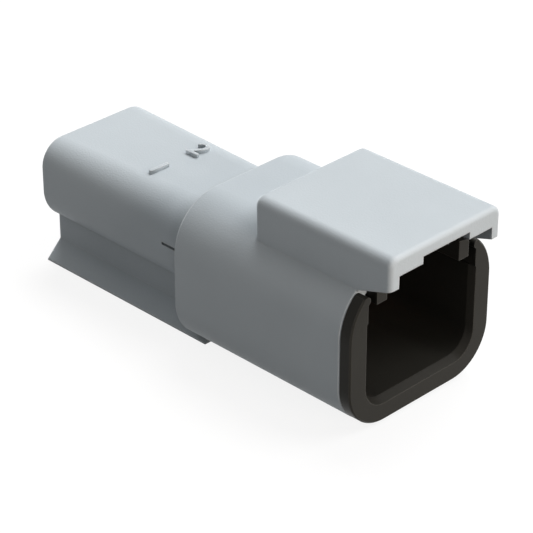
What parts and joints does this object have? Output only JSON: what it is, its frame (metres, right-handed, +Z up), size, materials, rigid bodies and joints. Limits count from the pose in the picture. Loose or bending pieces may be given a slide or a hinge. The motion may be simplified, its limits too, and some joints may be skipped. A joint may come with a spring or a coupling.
{
  "type": "two-way sealed automotive receptacle",
  "caption": "Rectangular sealed wire-to-wire receptacle with a latch hood, black mouth liner, pin contacts, sliding wedge lock, rear wire seal and a dovetail mounting rail",
  "frame": {"origin": "under the middle of the overall length, on the plane that the foot of the mounting rail rests on", "axes": "+X towards the mouth, +Z up from the rail to the latch hood, +Y across the width"},
  "size_m": [0.038, 0.0154, 0.0154],
  "materials": {
    "housing": "fine matt moulded grey nylon",
    "liner": "satin moulded black nylon",
    "wedge": "moulded orange nylon",
    "seal": "soft silicone",
    "retainer": "matt moulded grey nylon",
    "contact": "nickel-plated copper alloy, turned"
  },
  "bodies": {
    "receptacle": {"housing": "housing", "mouth_liner": "liner", "wire_seal": "seal", "seal_retainer": "retainer", "pin_contact_1": "contact", "pin_contact_2": "contact"},
    "wedge": {"wedge_lock": "wedge"}
  },
  "joints": [
    {"name": "wedge_slide", "type": "slide", "parent": "receptacle", "child": "wedge", "axis": [1, 0, 0], "range_m": [0, 0.0065]}
  ]
}
